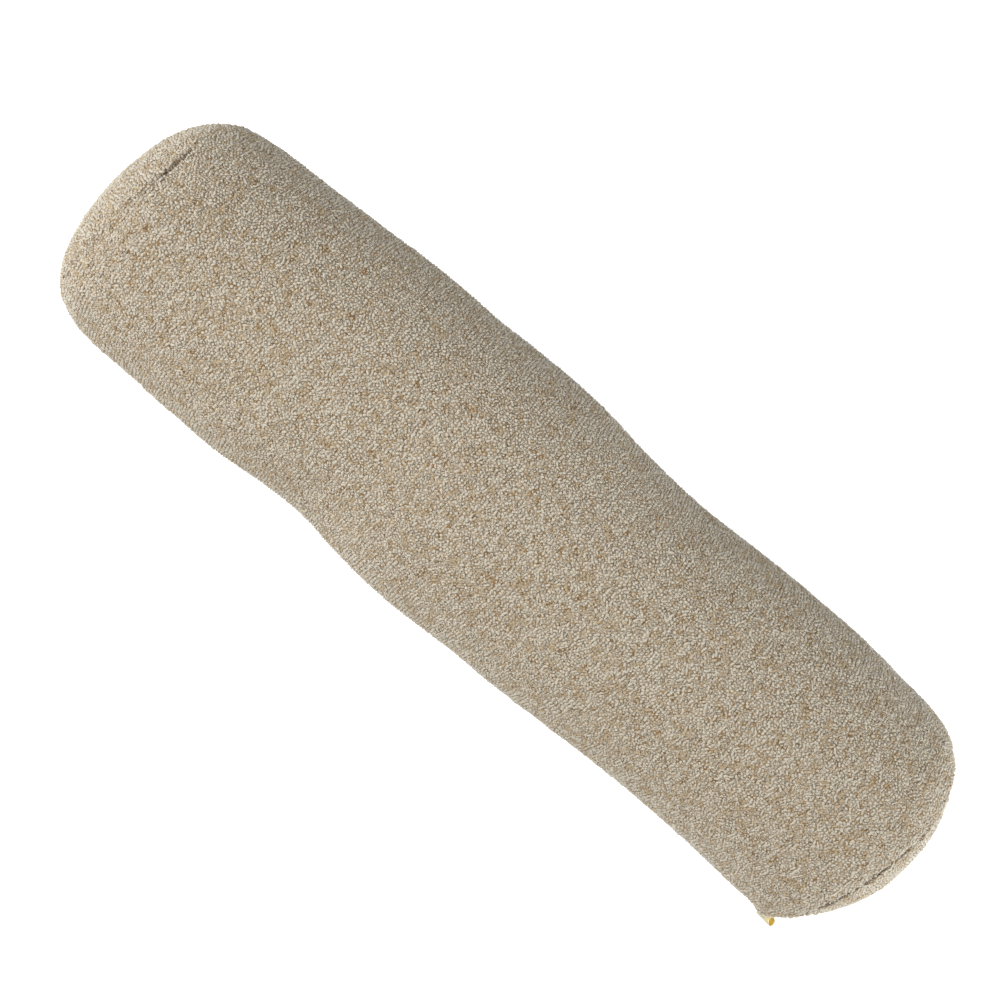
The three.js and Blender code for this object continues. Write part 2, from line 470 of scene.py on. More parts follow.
def cover_grid(sizes):
    """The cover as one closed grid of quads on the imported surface, its UV map the cloth's own places."""
    tree = packed_surface("bolster_cushion")
    left = CUSHION_LOW.x + sizes.left_bulge
    right = CUSHION_HIGH.x - sizes.right_bulge
    distances = seam_distances(right - left)
    tube = tube_points(tree, left, distances)
    points = list(tube.reshape(-1, 3))
    last = len(distances) - 1
    section = tube[:, :, 1:]
    radius = float(np.linalg.norm(section - section.mean(axis=1, keepdims=True), axis=2).mean())
    girth = 2 * math.pi * radius
    faces, places = [], []

    def tube_place(ring, line):
        return distances[ring] / CLOTH_WIDTH, line / ROUND_STEPS * girth / CLOTH_WIDTH

    for ring in range(last):
        for line in range(ROUND_STEPS):
            corners = [(ring, line), (ring, line + 1), (ring + 1, line + 1), (ring + 1, line)]
            faces.append([r * ROUND_STEPS + at % ROUND_STEPS for r, at in corners])
            places.append([tube_place(r, at) for r, at in corners])

    from_seam = np.repeat(np.minimum(distances, distances[-1] - distances), ROUND_STEPS).tolist()
    line_gap = np.minimum(np.arange(ROUND_STEPS), ROUND_STEPS - np.arange(ROUND_STEPS))
    from_long_seam = np.tile(line_gap / ROUND_STEPS * girth, last + 1).tolist()
    panel = np.zeros(len(points)).tolist()
    steps = ROUND_STEPS // 4
    for ring, bulge, outwards in ((0, sizes.left_bulge, -1), (last, sizes.right_bulge, 1)):
        rim = tube[ring]
        inner, seam = panel_points(tree, rim, bulge, outwards)
        order = {}
        for key in sorted({**inner, **seam}):
            if key in seam:
                order[key] = ring * ROUND_STEPS + seam[key]
                continue
            order[key] = len(points)
            points.append(inner[key])
            reach, _ = disc_place(*key, steps)
            from_seam.append(-(1 - reach) * radius)
            from_long_seam.append(girth / 4)
            panel.append(1.0)
        centre = (1 + outwards) / 2 * PANEL_MAP_STEP + PANEL_MAP[0], PANEL_MAP[1]
        for i in range(steps):
            for k in range(steps):
                corners = [(i, k), (i + 1, k), (i + 1, k + 1), (i, k + 1)]
                if outwards < 0:
                    corners.reverse()
                faces.append([order[c] for c in corners])
                flat = [points[order[c]] for c in corners]
                flat = [(p[1] / CLOTH_WIDTH, (p[2] - AXIS.z) / CLOTH_WIDTH) for p in flat]
                places.append([(centre[0] + u, centre[1] + v) for u, v in flat])

    cover = new_piece("bolster_cover", points, faces)
    mesh = cover.data
    set_map(mesh, [place for face in places for place in face])
    store_points(mesh, "from_seam", from_seam)
    store_points(mesh, "from_long_seam", from_long_seam)
    store_points(mesh, "panel", panel)
    return cover


# The cover's shape


def bell(distance, reach):
    return np.exp(-((np.asarray(distance) / reach) ** 2))


def fill_cover(cover, sizes):
    """Fills the cover by cloth simulation, with its seams and its flat spot held."""
    mesh = cover.data
    rest, outwards = points_of(mesh), normals_of(mesh)
    tube = 1 - read_points(mesh, "panel")
    held = np.maximum(bell(read_points(mesh, "from_seam"), HOLD["seam"]), bell(rest[:, 2], HOLD["flat"]))
    held = np.maximum(held, bell(read_points(mesh, "from_long_seam"), HOLD["seam"]) * tube)
    group = cover.vertex_groups.new(name=FILLING["vertex_group_mass"])
    for index in np.flatnonzero(held > HOLD["least"]):
        group.add([int(index)], float(held[index]), "REPLACE")
    cloth = cover.modifiers.new("Filling", "CLOTH")
    setup = cloth.settings
    for name, value in FILLING.items():
        setattr(setup, name, value)
    setup.uniform_pressure_force = sizes.pressure
    setup.effector_weights.gravity = 0
    cloth.collision_settings.use_collision = False
    scene = bpy.context.scene
    for number in range(1, FILL_FRAMES + 1):
        scene.frame_set(number)
    filled = points_of(evaluated_mesh(cover, "filled"))
    cover.modifiers.clear()
    cover.vertex_groups.clear()
    scene.frame_set(1)
    swell = ((filled - rest) * outwards).sum(axis=1)
    swell = np.clip(swell, -sizes.most_swell, sizes.most_swell) * (1 - held)
    set_points(mesh, rest + outwards * swell[:, None])


def swell_ends(points):
    """Moves each end in or out where its filling is uneven, and bulges the cloth over the label."""
    moved = points.copy()
    for side, outwards in (("left", -1), ("right", 1)):
        near = np.clip((outwards * points[:, 0] - END_SWELL["from"]) / END_SWELL["grows"], 0, 1)
        for across, out, reach in END_SWELLS[side]:
            moved[:, 0] += outwards * out * MM * near * bell(points[:, 1] - across * MM, reach * MM)
    bulge = {key: value * MM for key, value in LABEL_BULGE.items()}
    over = np.clip((points[:, 2] - bulge["over"]) / bulge["grows"], 0, 1) * (points[:, 1] < 0)
    beside = bell(points[:, 0] - bulge["place"], bulge["along"])
    moved[:, 1] -= bulge["out"] * over * (beside * bell(points[:, 2] - bulge["height"], bulge["up"]))
    return moved


def seam_opening(points):
    """How open each end seam is at each point, from 0 to 1: most where the cloth is pulled across it."""
    turn = np.arctan2(points[:, 2] - AXIS.z, points[:, 1] - AXIS.y)
    ends = {side: bell((turn - SEAM_PULL[side]) ** 2, PULL_WIDTH[side] ** 2) for side in SEAM_PULL}
    drawn = np.where(points[:, 0] < 0, ends["left"], ends["right"])
    worn = 0.5 + 0.5 * noise_at(points * (0, 1, 1), 24 * MM, seed=4, octaves=1)
    pulled = OPENING["drawn"] * drawn * (0.75 + 0.5 * worn)
    return np.clip(OPENING["least"] + OPENING["worn"] * worn + pulled, 0, 1)


def sew_cover(cover, sizes):
    """Draws the seams in, puckers the cloth beside them and adds a thick cloth's unevenness. It also marks
    the seam creases, where the ground is painted with shade, and thins the loops over the seam gaps and the
    flat spot.
    """
    mesh = cover.data
    points, outwards = points_of(mesh), normals_of(mesh)
    from_seam, from_long_seam = read_points(mesh, "from_seam"), read_points(mesh, "from_long_seam")
    tube = 1 - np.clip(read_points(mesh, "panel"), 0, 1)
    stitched = bell(from_seam, END_SEAM["stitch"])
    long_seam = bell(from_long_seam, LONG_SEAM["stitch"]) * tube
    opened = seam_opening(points)
    puckers = noise_at(points * (0.3, 1, 1), 9 * MM, seed=1, octaves=1)
    lumps = noise_at(points, 26 * MM, seed=2)
    nubs = noise_at(points, 5.5 * MM, seed=3)
    depth = sizes.seam_depth * stitched * opened
    depth -= sizes.seam_fill * bell(from_seam, END_SEAM["fill"]) * (1 - 0.3 * opened)
    depth += PUCKERS["end"] * puckers * bell(from_seam, END_SEAM["puckers"]) * opened
    long_puckers = PUCKERS["long"] * puckers * bell(from_long_seam, LONG_SEAM["puckers"]) * tube
    depth += LONG_SEAM_DEPTH * long_seam + long_puckers
    depth -= LUMPS * lumps + NUBS * nubs
    flat = bell(np.maximum(points[:, 2] - LOWEST, 0), 5 * MM)
    points = points - outwards * (depth * (1 - flat))[:, None]
    points[:, 2] = np.maximum(points[:, 2], LOWEST)
    set_points(mesh, swell_ends(points))
    long_gap = LONG_SEAM_GAP * bell(from_long_seam, LONG_SEAM["gap"]) * tube
    gap = np.maximum(bell(from_seam, END_SEAM["gap"]) * opened, long_gap)
    # The seam creases, wider where a seam gapes: the ground material paints them with umber shade.
    crease = np.maximum(bell(from_seam, END_SEAM["crease"]) * opened, LONG_SEAM_GAP * long_seam)
    store_points(mesh, "crease", crease)
    store_points(mesh, "coverage", (1 - 0.97 * gap) * (1 - 0.6 * flat))


def lay_rows(cover):
    """Writes where the woven rows run: across the tube, and up and down the flat-cut end panels."""
    mesh = cover.data
    points, outwards = points_of(mesh), normals_of(mesh)
    on_panel = read_points(mesh, "panel")[:, None] > 0.5
    across = np.where(on_panel, (0.0, 1.0, 0.0), (1.0, 0.0, 0.0))
    along = np.cross(outwards, across)
    store_points(mesh, "row_place", np.where(on_panel[:, 0], points[:, 1], points[:, 0]))
    store_points(mesh, "row_across", across)
    store_points(mesh, "row_along", along)


# Materials


def yarn_fleck_group():
    """Flecks of looped yarn on the cloth: their tone, the gaps between them, their height, and a few pits in
    the gaps where the ground is painted with shade.
    """
    sizes = {"Cloth place": None, "Fleck size": 1.7 * MM, "Curl": 0.8, "Row pitch": 2.8 * MM}
    tree, given, result = shader_group("yarn_flecks", sizes, ("Tone", "Gap", "Pit", "Height"))
    per_metre = maths(tree, "DIVIDE", 1.0, given["Fleck size"])

    def patches(place, finer, detail):
        scale = product(tree, per_metre, finer)
        inputs = {"Vector": place, "Scale": scale, "Detail": detail}
        return add_node(tree, "ShaderNodeTexNoise", inputs, noise_dimensions="2D").outputs

    wander = patches(given["Cloth place"], 0.7, 1.0)["Color"]
    sway = vector_maths(tree, "SUBTRACT", {0: wander, 1: (0.5, 0.5, 0.5)})
    reach = product(tree, given["Curl"], given["Fleck size"])
    sway = vector_maths(tree, "SCALE", {0: sway, "Scale": reach})
    place = vector_maths(tree, "ADD", {0: given["Cloth place"], 1: sway})
    longer = vector_maths(tree, "MULTIPLY", {0: place, 1: (1.0, 0.8, 1.0)})
    cells = {"Vector": longer, "Scale": per_metre, "Randomness": 1.0}
    flat = {"voronoi_dimensions": "2D"}
    edge = add_node(tree, "ShaderNodeTexVoronoi", cells, feature="DISTANCE_TO_EDGE", **flat)
    edge = edge.outputs["Distance"]
    cell = add_node(tree, "ShaderNodeTexVoronoi", cells, feature="F1", **flat)
    draw = add_node(tree, "ShaderNodeSeparateColor", {"Color": cell.outputs["Color"]}).outputs
    mottle = graded(tree, patches(place, 0.3, 2.0)["Fac"], 0.3, 0.7)
    tone = maths(tree, "ADD", product(tree, draw[0], 0.5), product(tree, mottle, 0.5))
    gap = graded(tree, edge, 0.02, 0.16, 1.0, 0.0)
    scarce = graded(tree, patches(place, 0.8, 1.0)["Fac"], 0.48, 0.6)
    row = add_node(tree, "ShaderNodeSeparateXYZ", {"Vector": place}).outputs["X"]
    turns = maths(tree, "DIVIDE", product(tree, row, 2 * math.pi), given["Row pitch"])
    wave = maths(tree, "SINE", turns)
    dome = product(tree, graded(tree, edge, 0.0, 0.4), maths(tree, "ADD", draw[1], 0.6))
    height = maths(tree, "ADD", dome, product(tree, wave, 0.15))
    # Pits, where the ground is painted with umber shade: scattered in the gaps, and along the furrows between
    # orderly rows.
    orderly = graded(tree, patches(given["Cloth place"], 0.08, 0.0)["Fac"], 0.55, 0.68)
    furrow = product(tree, graded(tree, wave, -0.6, -1.0), orderly)
    pit = product(tree, gap, maths(tree, "MAXIMUM", scarce, furrow))
    set_inputs(tree, result, {"Tone": tone, "Gap": gap, "Pit": pit, "Height": height})
    return tree


def cloth_place(tree):
    """The place on the cloth in metres, from the piece's own map."""
    uv = add_node(tree, "ShaderNodeUVMap", uv_map=BAKE_MAP).outputs["UV"]
    return vector_maths(tree, "SCALE", {0: uv, "Scale": CLOTH_WIDTH})


def new_material(name, roughness, sheen):
    """A cloth material with its plain values set, its node tree and its shader's inputs."""
    material = bpy.data.materials.new(name)
    material.use_nodes = True
    shader = material.node_tree.nodes["Principled BSDF"]
    tree, inputs = material.node_tree, shader.inputs
    set_inputs(tree, inputs, {"Roughness": roughness, "Sheen Weight": sheen, **CLOTH_SHEEN})
    return material, tree, inputs


def ground_cloth(colours, loops):
    """The woven ground: pale flecks and tan in the gaps, with painted shade in umber in the pits and along
    the seam creases.
    """
    material, tree, shader = new_material("boucle_ground", 0.95, 0.1)
    inputs = {"Row pitch": loops.row_pitch, "Cloth place": cloth_place(tree)}
    flecks = add_node(tree, "ShaderNodeGroup", inputs, node_tree=yarn_fleck_group()).outputs
    colour = blended(tree, graded(tree, flecks["Tone"], 0.02, 0.3), colours.tan, colours.oat)
    colour = blended(tree, graded(tree, flecks["Tone"], 0.22, 0.55), colour, colours.ivory)
    colour = blended(tree, product(tree, flecks["Gap"], 0.85), colour, colours.tan)
    # Painted shade: umber along the seam creases, stronger in the gaps between flecks, and in the pits.
    crease = add_node(tree, "ShaderNodeAttribute", attribute_name="crease").outputs["Fac"]
    shade = maths(tree, "MULTIPLY", crease, maths(tree, "ADD", flecks["Gap"], 0.7), clamp=True)
    painted_shade = maths(tree, "MAXIMUM", product(tree, flecks["Pit"], 0.9), shade)
    colour = blended(tree, painted_shade, colour, colours.umber)
    relief = {"Height": flecks["Height"], "Strength": 0.9, "Distance": 0.7 * MM}
    normal = add_node(tree, "ShaderNodeBump", relief).outputs["Normal"]
    set_inputs(tree, shader, {"Base Color": colour, "Normal": normal})
    return material


def yarn_crown_group():
    """A loop's tone from its own map, and how deep a point lies between the loops, roughened with a fibre
    noise: this depth drives the painted shade low on each loop and its darkest pits.
    """
    sizes = {"Own map": None, "Fuzz": 0.3}
    tree, given, result = shader_group("yarn_crown", sizes, ("Tone", "Depth", "Pit"))
    place = add_node(tree, "ShaderNodeSeparateXYZ", {"Vector": given["Own map"]}).outputs
    inputs = {"Vector": given["Own map"], "Scale": 14.0, "Detail": 2.0}
    fibres = add_node(tree, "ShaderNodeTexNoise", inputs).outputs["Fac"]
    fuzz = product(tree, maths(tree, "SUBTRACT", fibres, 0.5), given["Fuzz"])
    depth = maths(tree, "ADD", graded(tree, place["Y"], 0.22, 0.55, 1.0, 0.0), fuzz, clamp=True)
    scarce = graded(tree, fibres, 0.48, 0.58)
    set_inputs(tree, result, {"Tone": place["X"], "Depth": depth, "Pit": product(tree, depth, scarce)})
    return tree


def loop_yarn(name, colours):
    """The looped yarn: each loop has one tone from tan through oat to ivory. Low down it is painted with
    shade: a darkened tan, where the tan ground yarn shows between the loops, and umber in scattered pits.
    """
    material, tree, shader = new_material(name, 0.9, 0.3)
    own = {"Own map": add_node(tree, "ShaderNodeUVMap", uv_map=BAKE_MAP).outputs["UV"]}
    crown = add_node(tree, "ShaderNodeGroup", own, node_tree=yarn_crown_group()).outputs
    tone = crown["Tone"]
    colour = blended(tree, graded(tree, tone, -0.35, 0.06), colours.tan, colours.oat)
    colour = blended(tree, graded(tree, tone, 0.05, 0.45), colour, colours.ivory)
    # Painted shade low on each loop: a darkened tan where the tan ground yarn shows between the loops, then
    # umber in the pits.
    deep = tuple(0.8 * value for value in colours.tan)
    colour = blended(tree, product(tree, crown["Depth"], 0.62), colour, deep)
    colour = blended(tree, product(tree, crown["Pit"], 0.85), colour, colours.umber)
    set_inputs(tree, shader, {"Base Color": colour})
    return material


def ribbon_weave_group():
    """Plain weave of a fine ribbon: its shade and its height."""
    sizes = {"Cloth place": None, "Thread": 0.35 * MM}
    tree, given, result = shader_group("ribbon_weave", sizes, ("Shade", "Height"))
    turns = maths(tree, "DIVIDE", math.pi, given["Thread"])
    place = add_node(tree, "ShaderNodeSeparateXYZ", {"Vector": given["Cloth place"]}).outputs
    weft, warp = [maths(tree, "SINE", product(tree, place[axis], turns)) for axis in ("X", "Y")]
    height = graded(tree, product(tree, weft, warp), -1.0, 1.0)
    inputs = {"Vector": given["Cloth place"], "Scale": 900.0, "Detail": 2.0}
    slub = add_node(tree, "ShaderNodeTexNoise", inputs).outputs["Fac"]
    set_inputs(tree, result, {"Height": height, "Shade": product(tree, height, slub)})
    return tree


def woven_ribbon(name, weave, colour):
    """One face of the label's ribbon."""
    material, tree, shader = new_material(name, 0.6, 0.15)
    place = {"Cloth place": cloth_place(tree)}
    woven = add_node(tree, "ShaderNodeGroup", place, node_tree=weave).outputs
    deep = tuple(0.72 * value for value in colour)
    relief = {"Height": woven["Height"], "Strength": 0.4, "Distance": 0.1 * MM}
    normal = add_node(tree, "ShaderNodeBump", relief).outputs["Normal"]
    colour = blended(tree, woven["Shade"], deep, colour)
    set_inputs(tree, shader, {"Base Color": colour, "Normal": normal, **RIBBON_GLOW})
    return material


# Loops of yarn


def yarn_bit(name, yarn, length, yarns, corners, ridge=0.0):
    """A short bit of looped yarn as a low closed dome: a rim, and one point or a ridge of two on top.
    How far up its crown each point lies is kept in an attribute; the yarn's material paints shade low down
    from it."""
    thickness = yarns * yarn
    rim, top = CROWN["rim"] * thickness, CROWN["top"] * thickness
    turns = [2 * math.pi * corner / corners for corner in range(corners)]
    points = [(math.cos(t) * length / 2, math.sin(t) * thickness / 2, rim) for t in turns]
    tops = [ridge / 2, -ridge / 2] if ridge else [0.0]
    points += [(x, 0, top) for x in tops]
    if ridge:
        faces = [[0, 1, 6], [1, 2, 7, 6], [2, 3, 7], [3, 4, 7], [4, 5, 6, 7], [5, 0, 6]]
    else:
        faces = [[corner, (corner + 1) % corners, corners] for corner in range(corners)]
    faces.append(list(reversed(range(corners))))
    bit = new_piece(name, points, faces)
    store_points(bit.data, "crown", [0.0] * corners + [1.0] * len(tops))
    return bit


def loops_tree(numbers):
    """The Geometry Nodes tree that lays bits of yarn over the cloth, along its rows, and joins them."""
    tree = bpy.data.node_groups.new("scattered_loops", "GeometryNodeTree")
    tree_socket(tree, "Geometry", "NodeSocketGeometry")
    tree_socket(tree, "Bit of yarn", "NodeSocketObject")
    tree_socket(tree, "Material", "NodeSocketMaterial")
    for name, value in numbers.items():
        tree_socket(tree, name, "NodeSocketInt" if name == "Seed" else "NodeSocketFloat", value)
    tree_socket(tree, "Geometry", "NodeSocketGeometry", output=True)
    given = tree.nodes.new("NodeGroupInput").outputs

    def named(name, kind):
        node = add_node(tree, "GeometryNodeInputNamedAttribute", {"Name": name}, data_type=kind)
        return node.outputs["Attribute"]

    def drawn(low, high, step):
        seed = maths(tree, "ADD", given["Seed"], float(step))
        return add_node(tree, "FunctionNodeRandomValue", {2: low, 3: high, 8: seed}).outputs[1]

    def either_way(name, step):
        return drawn(product(tree, given[name], -1.0), given[name], step)

    def stored(geometry, name, value, kind, domain):
        inputs = {"Geometry": geometry, "Name": name, "Value": value}
        settings = {"data_type": kind, "domain": domain}
        return add_node(tree, "GeometryNodeStoreNamedAttribute", inputs, **settings).outputs["Geometry"]

    inputs = {"Mesh": given["Geometry"], "Distance Min": given["Spacing"], "Density Max": given["Density"]}
    inputs |= {"Density Factor": named("coverage", "FLOAT"), "Seed": given["Seed"]}
    scatter = add_node(tree, "GeometryNodeDistributePointsOnFaces", inputs, distribute_method="POISSON")

    def patches(size, low, high):
        inputs = {"Scale": maths(tree, "DIVIDE", 1.0, size), "Detail": 1.0}
        return graded(tree, add_node(tree, "ShaderNodeTexNoise", inputs).outputs["Fac"], low, high)

    row = named("row_place", "FLOAT")
    off_row = maths(tree, "SUBTRACT", maths(tree, "SNAP", row, given["Row pitch"]), row)
    half = product(tree, given["Row pitch"], 0.5)
    wide = product(tree, given["Clump size"], 3.0)
    orderly = maths(tree, "ADD", patches(wide, 0.4, 0.65), 0.15)
    hold = product(tree, given["Row hold"], orderly)
    shift = product(tree, maths(tree, "ADD", off_row, half), hold)
    to_row = vector_maths(tree, "SCALE", {0: named("row_across", "FLOAT_VECTOR"), "Scale": shift})
    rise = drawn(0.0, 1.0, 1)
    height = add_node(tree, "ShaderNodeMix", {0: rise, 2: given["Lowest"], 3: given["Highest"]}).outputs[0]
    normal = scatter.outputs["Normal"]
    lift = vector_maths(tree, "SCALE", {0: normal, "Scale": height})
    offset = vector_maths(tree, "ADD", {0: to_row, 1: lift})
    inputs = {"Geometry": scatter.outputs["Points"], "Offset": offset}
    placed = add_node(tree, "GeometryNodeSetPosition", inputs)
    upright = add_node(tree, "FunctionNodeAlignRotationToVector", {"Vector": normal}, axis="Z")
    inputs = {"Rotation": upright.outputs["Rotation"], "Vector": named("row_along", "FLOAT_VECTOR")}
    in_row = add_node(tree, "FunctionNodeAlignRotationToVector", inputs, axis="X", pivot_axis="Z")
    turns = {"X": either_way("Tilt", 2), "Y": either_way("Tilt", 3), "Z": either_way("Turn spread", 4)}
    euler = add_node(tree, "ShaderNodeCombineXYZ", turns).outputs[0]
    turn = add_node(tree, "FunctionNodeEulerToRotation", {"Euler": euler}).outputs[0]
    inputs = {"Rotation": in_row.outputs["Rotation"], "Rotate By": turn}
    turned = add_node(tree, "FunctionNodeRotateRotation", inputs, rotation_space="LOCAL")
    size = drawn(given["Smallest"], given["Largest"], 5)
    pick = drawn(0.0, 1.0, 7)
    limits = {0: pick, 1: given["Share from"]}
    above = add_node(tree, "FunctionNodeCompare", limits, operation="GREATER_EQUAL")
    limits = {0: pick, 1: given["Share to"]}
    below = add_node(tree, "FunctionNodeCompare", limits, operation="LESS_THAN")
    own_share = add_node(tree, "FunctionNodeBooleanMath", {0: above.outputs[0], 1: below.outputs[0]})
    bit = add_node(tree, "GeometryNodeObjectInfo", {"Object": given["Bit of yarn"], "As Instance": True})
    inputs = {"Points": placed.outputs["Geometry"], "Selection": own_share.outputs[0], "Scale": size}
    inputs |= {"Instance": bit.outputs["Geometry"], "Rotation": turned.outputs[0]}
    laid = add_node(tree, "GeometryNodeInstanceOnPoints", inputs)
    clump = maths(tree, "SUBTRACT", patches(given["Clump size"], 0.3, 0.7), 0.5)
    clump = product(tree, clump, given["Clumping"])
    risen = maths(tree, "ADD", drawn(0.0, 0.65, 6), product(tree, rise, 0.35))
    tone = add_node(tree, "ShaderNodeClamp", {"Value": maths(tree, "ADD", risen, clump)}).outputs[0]
    toned = stored(laid.outputs["Instances"], "tone", tone, "FLOAT", "INSTANCE")
    joined = add_node(tree, "GeometryNodeRealizeInstances", {"Geometry": toned}).outputs["Geometry"]
    own = {"X": named("tone", "FLOAT"), "Y": named("crown", "FLOAT")}
    own = add_node(tree, "ShaderNodeCombineXYZ", own).outputs[0]
    mapped = stored(joined, BAKE_MAP, own, "FLOAT2", "CORNER")
    inputs = {"Geometry": mapped, "Material": given["Material"]}
    dressed = add_node(tree, "GeometryNodeSetMaterial", inputs)
    output = tree.nodes.new("NodeGroupOutput")
    tree.links.new(dressed.outputs["Geometry"], output.inputs["Geometry"])
    return tree


def scatter_loops(cover, tree, name, inputs):
    """One piece of loops on the cover, as a plain mesh."""
    piece = new_object(name, cover.data)
    modifier = piece.modifiers.new("Loops", "NODES")
    modifier.node_group = tree
    sockets = {s.name: s.identifier for s in tree.interface.items_tree if s.in_out == "INPUT"}
    for key, value in inputs.items():
        modifier[sockets[key]] = value
    apply_modifiers(piece)
    for name in ("tone", "crown"):
        kept = piece.data.attributes.get(name)
        if kept:
            piece.data.attributes.remove(kept)
    return piece


# The label


def label_path(sizes):
    """The ribbon's middle line: both layers flat from the seam, then round an open eye."""
    half, root, reach = (sizes.fold - sizes.ribbon) / 2, 0.55 * sizes.ribbon, sizes.eye / 2
    middle = sizes.out - reach - sizes.ribbon / 2
    opening = LABEL_OPENING
    turns = np.linspace(-opening, opening, LABEL_STEPS["eye"])
    eye = np.array([(middle + reach * math.cos(turn), half * math.sin(turn)) for turn in turns])
    run = np.array([-reach * math.sin(opening), -half * math.cos(opening)]) * 0.11 * eye[0][0] / MM
    marks = np.array([(0, -root), (0.45 * eye[0][0], -root), eye[0] + run, eye[0]])
    steps = np.arange(LABEL_STEPS["lead"])[:, None] / LABEL_STEPS["lead"]
    lead = (1 - steps) ** 3 * marks[0] + 3 * (1 - steps) ** 2 * steps * marks[1]
    lead = lead + 3 * (1 - steps) * steps**2 * marks[2] + steps**3 * marks[3]
    return np.concatenate([lead, eye, lead[::-1] * (1, -1)])


def label_axes():
    """The label's own axes in the frame: out of the seam, across its fold and along the seam."""
    along = Vector((0, math.sin(LABEL_TURN), -math.cos(LABEL_TURN)))
    outwards = Vector((0, math.cos(LABEL_TURN), math.sin(LABEL_TURN)))
    outwards.rotate(Quaternion(along, LABEL_LEAN))
    return np.array([outwards, along.cross(outwards), along])


def folded_label(sizes):
    """The folded ribbon, twisting a little on its way out of the seam, with raised woven edges."""
    path = label_path(sizes)
    steps = np.concatenate([[0], np.cumsum(np.linalg.norm(np.diff(path, axis=0), axis=1))])
    columns = LABEL_STEPS["across"]
    across = np.linspace(-0.5, 0.5, columns)
    ahead = np.gradient(path, axis=0)
    ahead /= np.linalg.norm(ahead, axis=1, keepdims=True)
    points, places = [], []
    for (x, y), (dx, dy), run in zip(path, ahead, steps):
        twist = LABEL_TWIST * min(x / sizes.out, 1)
        for share in across:
            raised = LABEL_EDGE["height"] * math.exp(-(((0.5 - abs(share)) / LABEL_EDGE["reach"]) ** 2))
            wave = LABEL_WAVE * math.sin(9 * share + 2) * (x / sizes.out)
            px, py, pz = x + dy * raised, y - dx * raised + wave, share * sizes.width
            cos, sin = math.cos(twist), math.sin(twist)
            points.append((px, py * cos - pz * sin, py * sin + pz * cos))
            places.append((run / CLOTH_WIDTH, (share + 0.5) * sizes.width / CLOTH_WIDTH))
    low, high = np.array(LABEL_LOW), np.array(LABEL_HIGH)
    root = low + (high - low) * LABEL_ROOT
    points = np.array(points) @ label_axes() + root
    faces = []
    for row in range(len(path) - 1):
        for column in range(columns - 1):
            corner = row * columns + column
            faces.append([corner, corner + columns, corner + columns + 1, corner + 1])
    label = new_piece("label_ribbon", points, faces)
    set_map(label.data, [places[i] for face in faces for i in face])
    return label, float(steps[-1])


# Operators


class BOLSTER_OT_cover(bpy.types.Operator):
    """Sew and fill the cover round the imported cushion"""

    bl_idname = "bolster.sew_cover"
    bl_label = "Sew the cover"

    def execute(self, context):
        sizes, colours = context.scene.bolster_cover, context.scene.bolster_yarns
        cover = cover_grid(sizes)
        points = points_of(cover.data) - normals_of(cover.data) * sizes.pile
        points[:, 2] = np.maximum(points[:, 2], sizes.pile)
        set_points(cover.data, points)
        fill_cover(cover, sizes)
        finer = cover.modifiers.new("Finer", "SUBSURF")
        finer.levels = finer.render_levels = 1
        apply_modifiers(cover)
        sew_cover(cover, sizes)
        lay_rows(cover)
        cover.data.materials.append(ground_cloth(colours, context.scene.bolster_loops))
        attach(cover, "root")
        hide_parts("bolster_cushion")
        return {"FINISHED"}


class BOLSTER_OT_loops(bpy.types.Operator):
    """Loop the yarn over the cover, tone by tone"""

    bl_idname = "bolster.loop_yarn"
    bl_label = "Loop the yarn"

    def execute(self, context):
        sizes, colours = context.scene.bolster_loops, context.scene.bolster_yarns
        cover = bpy.data.objects["bolster_cover"]
        bits = {
            "curl": yarn_bit("curl", sizes.yarn, **CURL),
            "knot": yarn_bit("knot", sizes.yarn, **KNOT),
        }
        numbers = {
            **LOOP_LAY,
            "Share from": 0.0,
            "Share to": 1.0,
            "Spacing": sizes.spacing,
            "Seed": sizes.seed,
            "Row pitch": sizes.row_pitch,
            "Row hold": sizes.row_hold,
            "Clump size": sizes.clump,
            "Clumping": sizes.clumping,
        }
        tree = loops_tree(numbers)
        yarn = loop_yarn("looped_yarn", colours)
        for name, bit, share_from, share_to in LOOP_PIECES:
            numbers |= {"Share from": share_from, "Share to": share_to}
            own = {"Bit of yarn": bits[bit], "Material": yarn}
            piece = scatter_loops(cover, tree, name, {**numbers, **own})
            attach(piece, "root")
        for bit in bits.values():
            bpy.data.objects.remove(bit)
        return {"FINISHED"}


class BOLSTER_OT_label(bpy.types.Operator):
    """Fold the ribbon label into the right end seam"""

    bl_idname = "bolster.fold_label"
    bl_label = "Fold the label"

    def execute(self, context):
        sizes = context.scene.bolster_label
        label, cut_length = folded_label(sizes)
        weave = ribbon_weave_group()
        label.data.materials.append(woven_ribbon("cream_ribbon", weave, sizes.cream))
        label.data.materials.append(woven_ribbon("mustard_ribbon", weave, sizes.mustard))
        wall = label.modifiers.new("Thickness", "SOLIDIFY")
        wall.thickness, wall.offset = sizes.ribbon, 0
        wall.material_offset = 1
        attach(label, "root")
        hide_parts("label_loop")
        return {"FINISHED"}


